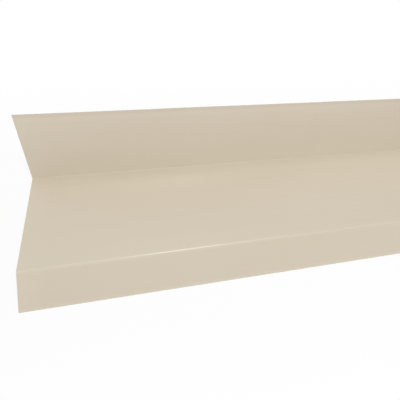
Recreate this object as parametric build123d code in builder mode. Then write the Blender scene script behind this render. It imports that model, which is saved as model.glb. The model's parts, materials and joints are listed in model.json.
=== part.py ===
from build123d import *
from math import asin, atan2, degrees, radians, tan
import os

# Wall abutment flashing: one strip of coated steel sheet, folded twice along its length.
# The wall leg stands against a wall, the roof leg lies on the roof below it and the lip turns down.
# X runs along the strip, Y towards the wall and Z up, with the origin on the floor under its middle.

# Sizes in millimetres and degrees; the widths run along the painted face, to its sharp corners
length = 2000
wall_leg = 122
roof_leg = 190
lip = 60
wall_angle = 105  # between wall leg and roof leg, on the painted side
lip_bend = 33  # turn of the lip below the line of the roof leg
sheet = 0.5
wall_bend_radius = 2  # on the inside of the fold between wall leg and roof leg
lip_bend_radius = 4  # on the inside of the shallow fold above the lip, which stays rounder

# Corners of the painted face, in a section that has the roof leg level and the inner fold at zero
inner_fold = Vector(0, 0)
outer_fold = Vector(-roof_leg, 0)
wall_edge = inner_fold + Vector(wall_leg, 0).rotate(Axis.Z, 180 - wall_angle)
lip_edge = outer_fold + Vector(-lip, 0).rotate(Axis.Z, lip_bend)

# The same two edges on the hidden face, one sheet behind
wall_edge_back = wall_edge + Vector(sheet, 0).rotate(Axis.Z, 90 - wall_angle)
lip_edge_back = lip_edge + Vector(0, -sheet).rotate(Axis.Z, lip_bend)

# At rest the strip lies on the round back of its inner fold and on the lip's lower edge,
# so the floor is the line through that edge that touches the fold from below
fold_centre = Vector(-wall_bend_radius / tan(radians(wall_angle / 2)), wall_bend_radius)
fold_back_radius = wall_bend_radius + sheet
lip_to_fold = fold_centre - lip_edge_back
floor_slope = degrees(atan2(lip_to_fold.Y, lip_to_fold.X) - asin(fold_back_radius / lip_to_fold.length))
lying = Plane.YZ.rotated((-floor_slope, 0, 0))

# The section plane stands at one end of the strip, with the floor at zero and the depth centred
front = lying.from_local_coords(lip_edge).Y
back = lying.from_local_coords(wall_edge_back).Y
floor = lying.from_local_coords(lip_edge_back).Z
section_origin = (-length / 2, -(front + back) / 2, -floor)
section_plane = Plane(section_origin, lying.x_dir, lying.z_dir)

# The folded strip: the painted face is the driving line, and the sheet lies behind it
with BuildPart() as flashing:
    with BuildSketch(section_plane):
        with BuildLine():
            FilletPolyline(
                wall_edge,
                inner_fold,
                outer_fold,
                lip_edge,
                radius=[wall_bend_radius, lip_bend_radius + sheet],
            )
            offset(amount=sheet, side=Side.LEFT)
        make_face()
    extrude(amount=length)

flashing.part.label = "flashing"

os.makedirs("parts", exist_ok=True)
export_step(flashing.part, "parts/flashing.step")
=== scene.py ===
import json
import random
from math import atan2, pi, radians, tan

import bmesh
import bpy
from mathutils import Matrix, Vector


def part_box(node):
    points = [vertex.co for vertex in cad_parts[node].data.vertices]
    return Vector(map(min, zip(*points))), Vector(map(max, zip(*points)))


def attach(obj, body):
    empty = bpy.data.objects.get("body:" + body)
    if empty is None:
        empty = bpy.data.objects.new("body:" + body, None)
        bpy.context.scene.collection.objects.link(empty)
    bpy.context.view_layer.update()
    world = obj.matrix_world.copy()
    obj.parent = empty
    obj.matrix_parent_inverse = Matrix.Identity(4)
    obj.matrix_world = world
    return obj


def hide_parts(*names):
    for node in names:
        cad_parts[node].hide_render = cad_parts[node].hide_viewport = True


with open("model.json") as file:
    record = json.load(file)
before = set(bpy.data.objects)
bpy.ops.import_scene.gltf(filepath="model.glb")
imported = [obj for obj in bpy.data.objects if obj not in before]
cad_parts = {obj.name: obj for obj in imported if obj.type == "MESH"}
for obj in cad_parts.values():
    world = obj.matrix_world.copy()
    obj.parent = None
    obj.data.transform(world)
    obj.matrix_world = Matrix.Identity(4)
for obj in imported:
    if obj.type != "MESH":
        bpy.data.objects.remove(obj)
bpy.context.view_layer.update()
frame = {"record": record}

print("frame loaded")


# one socket of a node tree that can take part in sums
class Wire:
    def __init__(self, tree, socket=None):
        self.tree = tree
        self.socket = socket

    # any node: its settings first, then values or wires for its sockets
    def add(self, kind, settings=None, sockets=None, out=0):
        node = self.tree.nodes.new(kind)
        for name, value in (settings or {}).items():
            setattr(node, name, value)
        for name, value in (sockets or {}).items():
            if isinstance(value, Wire):
                self.tree.links.new(value.socket, node.inputs[name])
            else:
                node.inputs[name].default_value = value
        return Wire(self.tree, node.outputs[out] if node.outputs else None)

    def sums(self, operation, first, second=0.0):
        return self.add("ShaderNodeMath", {"operation": operation}, {0: first, 1: second})

    def __add__(self, other):
        return self.sums("ADD", self, other)

    def __radd__(self, other):
        return self.sums("ADD", other, self)

    def __sub__(self, other):
        return self.sums("SUBTRACT", self, other)

    def __rsub__(self, other):
        return self.sums("SUBTRACT", other, self)

    def __mul__(self, other):
        return self.sums("MULTIPLY", self, other)

    def __rmul__(self, other):
        return self.sums("MULTIPLY", other, self)

    def __pow__(self, other):
        return self.sums("POWER", self, other)


# a new finish: its material, its Principled node and a wire to build with
def newFinish(name):
    finish = bpy.data.materials.new(name)
    finish.use_nodes = True
    return finish, finish.node_tree.nodes["Principled BSDF"], Wire(finish.node_tree)


def plug(wire, shader, socket):
    wire.tree.links.new(wire.socket, shader.inputs[socket])


# from the first colour to the second: sockets 6 and 7 of a Mix node, and its output 2
def blend(wire, amount, first, second):
    return wire.add("ShaderNodeMix", {"data_type": "RGBA"}, {0: amount, 6: first, 7: second}, out=2)


# X, Y and Z of the surface, in metres
def axes(wire):
    place = wire.add("ShaderNodeTexCoord", out="Object")
    return [wire.add("ShaderNodeSeparateXYZ", sockets={"Vector": place}, out=axis) for axis in range(3)]


# noise on object coordinates, with its counts per metre along and across the strip
def grain(wire, along, across, detail):
    place = wire.add("ShaderNodeTexCoord", out="Object")
    counts = (along, across, across)
    stretched = wire.add("ShaderNodeMapping", sockets={"Vector": place, "Scale": counts})
    return wire.add("ShaderNodeTexNoise", sockets={"Vector": stretched, "Scale": 1.0, "Detail": detail})


# 0 to 1 as a value passes from start to end, eased at both
def ease(wire, value, start, end):
    sockets = {"Value": value, "From Min": start, "From Max": end}
    return wire.add("ShaderNodeMapRange", {"interpolation_type": "SMOOTHSTEP"}, sockets)


# 1 to 0 over the same range
def fade(wire, value, start, end):
    return 1 - ease(wire, value, start, end)


# from the first of two numbers to the second, as a pattern goes from 0 to 1
def spread(ends, pattern):
    return ends[0] + (ends[1] - ends[0]) * pattern


# two patterns in one, with the first one's share of it
def mingle(first, second, share):
    return share * first + (1 - share) * second


# straight-line distance from its two parts
def distance(a, b):
    return (a * a + b * b) ** 0.5


# the strip: sizes in metres and degrees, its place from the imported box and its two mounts
strip = {
    "wallLeg": 0.122,
    "roofLeg": 0.190,
    "lip": 0.060,
    "wallTurn": 75,
    "lipTurn": 33,
    "sheet": 0.0005,
    "wallRadius": 0.002,  # on the inside of each fold
    "lipRadius": 0.004,
    "foldSegments": 12,
    "cutsAlong": 159,
    "cutsAcross": {"wall": 8, "roof": 12, "lip": 4},
    "sharpAngle": 35,
    "tolerance": 0.00001,  # for picking edges by their place
}
mounts = {mount["name"]: mount for mount in frame["record"]["mounts"]}
low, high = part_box("flashing")
length = high.x - low.x
alongX = Vector((1, 0, 0))
wallBack = Vector(mounts["wall_face"]["axis"])
roofUnder = Vector(mounts["roof_face"]["axis"])
upWall = alongX.cross(wallBack)
downRoof = roofUnder.cross(alongX)
downLip = Matrix.Rotation(radians(strip["lipTurn"]), 3, "X") @ downRoof

# corners of the painted face in the section at mid length
wallEdge = Vector((0, high.y - strip["sheet"] * wallBack.y, high.z))
innerFold = wallEdge - upWall * strip["wallLeg"]
outerFold = innerFold + downRoof * strip["roofLeg"]
lipEdge = outerFold + downLip * strip["lip"]


# metres below the top edge, behind the lip edge and in from the nearer end, and the least of them
def cutGaps(wire):
    x, y, z = axes(wire)
    gaps = {"top": high.z - z, "lip": y - low.y, "end": length / 2 - wire.sums("ABSOLUTE", x)}
    edges = wire.sums("MINIMUM", gaps["top"], gaps["lip"])
    gaps["nearest"] = wire.sums("MINIMUM", edges, gaps["end"])
    return gaps


# flecks where a noise pattern rises through its levels
def flecks(wire, mark):
    return ease(wire, grain(wire, *mark["pattern"]), *mark["levels"])


# chips along the cuts, which reach in where the noise is above its level
def chips(wire, nearest, chip):
    nibble = grain(wire, *chip["pattern"])
    return fade(wire, nearest - chip["width"] * (nibble - chip["level"]), 0, chip["soft"])


# fine relief of a coat
def relief(wire, peel, height):
    sockets = {"Strength": peel["strength"], "Distance": peel["depth"], "Height": height}
    return wire.add("ShaderNodeBump", sockets=sockets)


# the painted face: a satin colour coat, rubbed and chipped at its edges, dusty in the inner fold, with
# painted shade along that fold, in its crease and on the lip
def paintFinish():
    # a pattern has its counts per metre along and across the strip, then its detail;
    # a reach is in metres, and a pair of strengths is for the low and the high of a pattern
    paint = {
        "colour": (0.664, 0.587, 0.464, 1),
        "deeper": (0.646, 0.568, 0.445, 1),
        "rubbed": (0.700, 0.625, 0.505, 1),
        # the colour for dust and specks, and for painted shade
        "dustAndShadeColour": (0.600, 0.525, 0.408, 1),
        "zinc": (0.48, 0.48, 0.47, 1),
        "ior": 1.6,
        "tone": {"cloud": (2.5, 7, 3), "roller": (1.2, 260, 2), "cloudShare": 0.65, "levels": (0.35, 0.65)},
        "handling": {"pattern": (9, 14, 4), "levels": (0.3, 0.7), "roughness": (0.30, 0.38)},
        # dust along the inner fold, whose darkening is also painted shade; the crease darkening is painted
        # shade
        "dustAndShade": {"pattern": (60, 90, 4), "along": (0, 0.032), "above": (0, 0.006), "strength": (0.1, 0.35)},
        "dustRoughness": 0.2,
        "creaseShade": {"reach": (0.0015, 0.004), "strength": 0.25},
        # painted shade on the lip
        "lipShade": {"reach": (0.002, 0.006), "strength": (0.3, 0.5)},
        "stretch": {"reach": (0.0008, 0.003), "strength": 0.35},
        "lipRub": {"reach": (0.0005, 0.006), "strength": 0.4},
        "endRub": {"reach": (0.005, 0.050), "strength": 0.4},
        "scuff": {"pattern": (5, 1400, 1), "levels": (0.70, 0.78), "strength": 0.3, "roughness": 0.08},
        "speck": {"pattern": (420, 420, 0), "levels": (0.74, 0.80), "strength": 0.5},
        # a darker band below the top edge and a paler line under it
        "darkTopBand": {"reach": (0.0049, 0.007), "strength": (0.3, 0.6)},
        "paleUnderLine": {"reach": (0.007, 0.0175), "strength": 0.3},
        "chip": {"pattern": (260, 260, 3), "width": 0.0012, "level": 0.52, "soft": 0.0002},
        "chipMetallic": 0.85,
        "chipDepth": 0.8,  # in heights of the peel
        "peel": {"pattern": (700, 700, 1), "strength": 0.1, "depth": 0.0002},
    }
    finish, shader, wire = newFinish("oysterPaint")
    y, z = axes(wire)[1:]
    tone = paint["tone"]
    cloud = grain(wire, *tone["cloud"])
    roller = grain(wire, *tone["roller"])
    paler = ease(wire, mingle(cloud, roller, tone["cloudShare"]), *tone["levels"])
    colour = blend(wire, paler, paint["deeper"], paint["colour"])

    # dust on the roof leg along the inner fold, which also paints shade there, darker towards the fold, and
    # painted shade in the crease
    dustAndShade = paint["dustAndShade"]
    fromFoldY = y - innerFold.y
    fromFoldZ = z - innerFold.z
    along = fromFoldY * downRoof.y + fromFoldZ * downRoof.z
    above = fromFoldY * -roofUnder.y + fromFoldZ * -roofUnder.z
    dustAndShadeBand = fade(wire, along, *dustAndShade["along"]) * fade(wire, above, *dustAndShade["above"])
    dustedAndShaded = dustAndShadeBand * spread(dustAndShade["strength"], grain(wire, *dustAndShade["pattern"]))
    creaseShading = fade(wire, distance(fromFoldY, fromFoldZ), *paint["creaseShade"]["reach"])
    colour = blend(wire, dustedAndShaded + paint["creaseShade"]["strength"] * creaseShading, colour, paint["dustAndShadeColour"])

    # painted shade on the lip, which lies nearest the ground: it is darkened a little, in clouds
    lipShade = paint["lipShade"]
    lipShading = ease(wire, outerFold.y - y, *lipShade["reach"]) * spread(lipShade["strength"], cloud)
    colour = blend(wire, lipShading, colour, paint["dustAndShadeColour"])

    # paler paint where the sheet was stretched at the outer fold, handled by its edges and scuffed
    gaps = cutGaps(wire)
    handling = paint["handling"]
    handled = grain(wire, *handling["pattern"])
    stretched = fade(wire, distance(y - outerFold.y, z - outerFold.z), *paint["stretch"]["reach"])
    lipRub = fade(wire, gaps["lip"], *paint["lipRub"]["reach"])
    endRub = fade(wire, gaps["end"], *paint["endRub"]["reach"]) * ease(wire, handled, *handling["levels"])
    scuffs = flecks(wire, paint["scuff"])
    rubbed = (
        paint["stretch"]["strength"] * stretched
        + paint["lipRub"]["strength"] * lipRub
        + paint["endRub"]["strength"] * endRub
        + paint["scuff"]["strength"] * scuffs
    )
    colour = blend(wire, rubbed, colour, paint["rubbed"])
    colour = blend(wire, paint["speck"]["strength"] * flecks(wire, paint["speck"]), colour, paint["dustAndShadeColour"])

    # a darker band just below the top edge, with a paler line under it
    inTopBand = fade(wire, gaps["top"], *paint["darkTopBand"]["reach"])
    underTopBand = (1 - inTopBand) * fade(wire, gaps["top"], *paint["paleUnderLine"]["reach"])
    colour = blend(wire, paint["paleUnderLine"]["strength"] * underTopBand, colour, paint["rubbed"])
    colour = blend(wire, inTopBand * spread(paint["darkTopBand"]["strength"], handled), colour, paint["dustAndShadeColour"])

    # small chips down to the zinc along the cuts
    bare = chips(wire, gaps["nearest"], paint["chip"])
    plug(blend(wire, bare, colour, paint["zinc"]), shader, "Base Color")
    plug(paint["chipMetallic"] * bare, shader, "Metallic")
    dulled = paint["dustRoughness"] * dustAndShadeBand + paint["scuff"]["roughness"] * scuffs
    plug(spread(handling["roughness"], handled) + dulled, shader, "Roughness")
    peel = grain(wire, *paint["peel"]["pattern"])
    plug(relief(wire, paint["peel"], peel - paint["chipDepth"] * bare), shader, "Normal")
    shader.inputs["IOR"].default_value = paint["ior"]
    return finish


# the hidden face: a thin pale grey backing coat, streaked by its roller
def backingFinish():
    backing = {
        "pale": (0.620, 0.622, 0.605, 1),
        "thin": (0.540, 0.546, 0.535, 1),
        "zinc": (0.48, 0.48, 0.47, 1),
        "roughness": (0.42, 0.58),
        "streak": (0.8, 190, 3),
        "mottle": (30, 30, 3),
        "streakShare": 0.6,
        "coverLevels": (0.3, 0.7),
        "scuff": {"pattern": (4, 900, 2), "levels": (0.66, 0.76), "strength": 0.5},
        "chip": {"pattern": (220, 220, 3), "width": 0.002, "level": 0.42, "soft": 0.0004},
        "wornMetallic": 0.7,
        "peel": {"pattern": (420, 420, 2), "strength": 0.08, "depth": 0.0002},
    }
    finish, shader, wire = newFinish("backingCoat")
    streak = grain(wire, *backing["streak"])
    mottle = grain(wire, *backing["mottle"])
    cover = ease(wire, mingle(streak, mottle, backing["streakShare"]), *backing["coverLevels"])
    colour = blend(wire, cover, backing["thin"], backing["pale"])
    bare = chips(wire, cutGaps(wire)["nearest"], backing["chip"])
    worn = wire.sums("MAXIMUM", bare, backing["scuff"]["strength"] * flecks(wire, backing["scuff"]))
    plug(blend(wire, worn, colour, backing["zinc"]), shader, "Base Color")
    plug(backing["wornMetallic"] * worn, shader, "Metallic")
    plug(spread(backing["roughness"], mottle), shader, "Roughness")
    plug(relief(wire, backing["peel"], grain(wire, *backing["peel"]["pattern"])), shader, "Normal")
    return finish


# the sheared edge: bare steel with smeared zinc, scored across by the blade
def edgeFinish():
    edge = {
        "steel": (0.40, 0.40, 0.41, 1),
        "zinc": (0.60, 0.61, 0.61, 1),
        "roughness": (0.32, 0.52),
        "metallic": 0.9,
        "score": (900, 900, 2),
        "smear": (40, 40, 2),
        "scoreShare": 0.6,
        "coverLevels": (0.3, 0.7),
    }
    finish, shader, wire = newFinish("shearedEdge")
    score = grain(wire, *edge["score"])
    smear = grain(wire, *edge["smear"])
    cover = ease(wire, mingle(score, smear, edge["scoreShare"]), *edge["coverLevels"])
    plug(blend(wire, cover, edge["steel"], edge["zinc"]), shader, "Base Color")
    plug(spread(edge["roughness"], score), shader, "Roughness")
    shader.inputs["Metallic"].default_value = edge["metallic"]
    return finish


# selects the edges of the piece in edit mode whose two ends pass a test
def pickEdges(piece, test):
    bpy.ops.mesh.select_mode(type="EDGE")
    bpy.ops.mesh.select_all(action="DESELECT")
    shape = bmesh.from_edit_mesh(piece.data)
    for edge in shape.edges:
        edge.select_set(test(edge.verts[0].co, edge.verts[1].co))
    bmesh.update_edit_mesh(piece.data)


def atCorner(point, corner):
    return (Vector((0, point.y, point.z)) - corner).length < strip["tolerance"]


# a test for edges on the line along one corner of the section
def onLine(corner):
    def bothOn(a, b):
        return atCorner(a, corner) and atCorner(b, corner)
    return bothOn


# a test for edges that span a leg from one corner to the other
def acrossLeg(first, second):
    def spans(a, b):
        there = atCorner(a, first) and atCorner(b, second)
        back = atCorner(a, second) and atCorner(b, first)
        return there or back
    return spans


# thin sheet never lies quite flat: shallow swells pushed out of each leg, clear of the folds
def swellLegs(piece):
    swell = {
        "seed": 11,
        "stagger": (0.2, 0.8),  # place in a swell's own share of the length
        "legs": {
            "roof": {
                "line": (innerFold + outerFold) / 2,
                "out": -roofUnder,
                "reach": 0.090,
                "swing": (-0.00040, 0.00040),
                "count": 9,
            },
            "wall": {
                "line": wallEdge,
                "out": -wallBack,
                "reach": 0.115,
                "swing": (-0.00050, 0.00050),
                "count": 8,
            },
            "lip": {
                "line": lipEdge,
                "out": downLip.cross(alongX),
                "reach": 0.055,
                "swing": (0, 0.00030),  # never down, where the lip's edge rests on the floor
                "count": 13,
            },
        },
    }
    dice = random.Random(swell["seed"])
    bpy.ops.mesh.select_mode(type="VERT")
    for leg in swell["legs"].values():
        for step in range(leg["count"]):
            x = low.x + length * (step + dice.uniform(*swell["stagger"])) / leg["count"]
            spot = Vector((x, leg["line"].y, leg["line"].z))
            bpy.ops.mesh.select_all(action="DESELECT")
            shape = bmesh.from_edit_mesh(piece.data)
            min(shape.verts, key=lambda vert: (vert.co - spot).length).select_set(True)
            bmesh.update_edit_mesh(piece.data)
            bpy.ops.transform.translate(
                value=leg["out"] * dice.uniform(*leg["swing"]),
                use_proportional_edit=True,
                proportional_edit_falloff="SMOOTH",
                proportional_size=leg["reach"],
            )


# the folded sheet: a flat roof leg, the two other legs drawn out of its edges, then the folds rounded
def foldedStrip():
    bpy.ops.object.select_all(action="DESELECT")
    across = innerFold - outerFold
    bpy.ops.mesh.primitive_plane_add(
        size=1,
        location=(innerFold + outerFold) / 2,
        rotation=(atan2(across.z, across.y), 0, 0),
    )
    piece = bpy.context.object
    piece.name = "folded_strip"
    piece.scale = (length, strip["roofLeg"], 1)
    bpy.ops.object.transform_apply(location=True, rotation=True, scale=True)
    for finish in (paintFinish(), backingFinish(), edgeFinish()):
        piece.data.materials.append(finish)

    bpy.ops.object.mode_set(mode="EDIT")
    for corner, reach in ((innerFold, upWall * strip["wallLeg"]), (outerFold, downLip * strip["lip"])):
        pickEdges(piece, onLine(corner))
        bpy.ops.mesh.extrude_region_move(TRANSFORM_OT_translate={"value": reach})
    legs = {"wall": (wallEdge, innerFold), "roof": (innerFold, outerFold), "lip": (outerFold, lipEdge)}
    for name, corners in legs.items():
        pickEdges(piece, acrossLeg(*corners))
        bpy.ops.mesh.subdivide(number_cuts=strip["cutsAcross"][name])
    pickEdges(piece, lambda a, b: abs(a.x - b.x) > length / 2)  # the edges that run from end to end
    bpy.ops.mesh.subdivide(number_cuts=strip["cutsAlong"])

    # the painted side is inside the first fold and outside the second
    folds = (
        (innerFold, strip["wallRadius"], strip["wallTurn"]),
        (outerFold, strip["lipRadius"] + strip["sheet"], strip["lipTurn"]),
    )
    for corner, radius, turn in folds:
        pickEdges(piece, onLine(corner))
        bpy.ops.mesh.bevel(
            offset=radius * tan(radians(turn) / 2),
            segments=strip["foldSegments"],
            profile=0.5,  # round
            clamp_overlap=False,
        )
    swellLegs(piece)
    bpy.ops.object.mode_set(mode="OBJECT")

    # the sheet lies behind the painted face, with the backing coat on its back and bare steel round it
    sheet = piece.modifiers.new("sheet", "SOLIDIFY")
    sheet.thickness = strip["sheet"]
    sheet.offset = -1
    sheet.use_even_offset = True
    sheet.material_offset = 1
    sheet.material_offset_rim = 2
    bpy.ops.object.modifier_apply(modifier=sheet.name)
    bpy.ops.object.shade_smooth_by_angle(angle=radians(strip["sharpAngle"]))
    shading = piece.modifiers.new("flatLegs", "WEIGHTED_NORMAL")
    shading.keep_sharp = True
    bpy.ops.object.modifier_apply(modifier=shading.name)
    return piece


piece = foldedStrip()
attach(piece, "root")
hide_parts("flashing")
print("strip folded,", len(piece.data.polygons), "faces")


# 1 for the rays that look at the background: camera, mirror and glass
def seenRays(wire):
    sight = wire.add("ShaderNodeLightPath", out="Is Camera Ray")
    for ray in ("Is Glossy Ray", "Is Transmission Ray"):
        sight = wire.sums("MAXIMUM", sight, wire.add("ShaderNodeLightPath", out=ray))
    return sight


# a white floor that keeps the soft shadow around the strip and fades out further away
def studioFloor():
    ground = {
        "size": 30.0,
        "below": 0.0002,
        "white": (0.94, 0.94, 0.94, 1),
        "glow": 1.0,
        "lift": (0.86, 1),  # share of the glow beside the strip and far from it
        "fade": (0.15, 0.40),  # metres from the line that the strip lies on
    }
    bpy.ops.object.select_all(action="DESELECT")
    bpy.ops.mesh.primitive_plane_add(size=ground["size"], location=(0, 0, -ground["below"]))
    floor = bpy.context.object
    floor.name = "studio_floor"
    finish = bpy.data.materials.new("studioWhite")
    finish.use_nodes = True
    finish.node_tree.nodes.clear()
    wire = Wire(finish.node_tree)
    matt = wire.add("ShaderNodeBsdfDiffuse", sockets={"Color": ground["white"]})
    glow = wire.add("ShaderNodeEmission", sockets={"Strength": ground["glow"]})
    x, y = axes(wire)[:2]
    pastEnd = wire.sums("MAXIMUM", wire.sums("ABSOLUTE", x) - length / 2, 0.0)
    lift = spread(ground["lift"], ease(wire, distance(pastEnd, y), *ground["fade"]))
    mixed = wire.add("ShaderNodeMixShader", sockets={0: lift * seenRays(wire), 1: matt, 2: glow})
    wire.add("ShaderNodeOutputMaterial", sockets={"Surface": mixed})
    floor.data.materials.append(finish)
    return floor


# the room's even light, with softboxes above, in front and behind
def studioLight():
    room = {
        "white": (1, 1, 1, 1),
        "strength": (0.4, 1),  # as light on the strip and as the background that is seen
        "lamps": {
            "overhead_box": {
                "place": (-0.37, 0.11, 3.2),
                "aim": (-0.37, 0, 0),
                "size": (0.6, 0.37),
                "power": 38.7,
            },
            "front_box": {
                "place": (-0.25, -2.2, 0.62),
                "aim": (-0.25, 0.05, 0),
                "size": (3.7, 0.5),
                "power": 18.5,
            },
            "back_box": {
                "place": (-0.45, 1.1, 1.9),
                "aim": (-0.45, 0, 0),
                "size": (3.3, 0.6),
                "power": 7.7,
            },
        },
    }
    world = bpy.data.worlds.new("studioRoom")
    bpy.context.scene.world = world
    world.use_nodes = True
    world.node_tree.nodes.clear()
    wire = Wire(world.node_tree)
    strength = spread(room["strength"], seenRays(wire))
    sky = wire.add("ShaderNodeBackground", sockets={"Color": room["white"], "Strength": strength})
    wire.add("ShaderNodeOutputWorld", sockets={"Surface": sky})
    for name, lamp in room["lamps"].items():
        light = bpy.data.lights.new(name, "AREA")
        light.shape = "RECTANGLE"
        light.size, light.size_y = lamp["size"]
        light.energy = lamp["power"]
        box = bpy.data.objects.new(name, light)
        bpy.context.collection.objects.link(box)
        box.location = lamp["place"]
        aim = Vector(lamp["aim"]) - box.location
        box.rotation_euler = aim.to_track_quat("-Z", "Y").to_euler()


# the camera stands in front of the cut end and looks down along the strip
def studioCamera():
    view = {
        "place": (-0.8124, -0.2788, 0.5004),
        "turnRight": 21.45,
        "lookDown": 57.72,
        "roll": 12.56,
        "focalPixels": 308.7,
        "imagePixels": 400,
        "sensor": 36.0,
        "clipStart": 0.01,
    }
    data = bpy.data.cameras.new("photo_camera")
    data.sensor_width = view["sensor"]
    data.lens = view["focalPixels"] / view["imagePixels"] * view["sensor"]
    data.clip_start = view["clipStart"]
    camera = bpy.data.objects.new("photo_camera", data)
    bpy.context.collection.objects.link(camera)
    turned = Matrix.Rotation(-radians(view["turnRight"]), 4, "Z")
    tilted = Matrix.Rotation(pi / 2 - radians(view["lookDown"]), 4, "X")
    rolled = Matrix.Rotation(radians(view["roll"]), 4, "Z")
    camera.matrix_world = Matrix.Translation(view["place"]) @ turned @ tilted @ rolled
    bpy.context.scene.camera = camera


studioFloor()
studioLight()
studioCamera()
bpy.context.scene.view_settings.view_transform = "Standard"
print("floor, light and camera set")
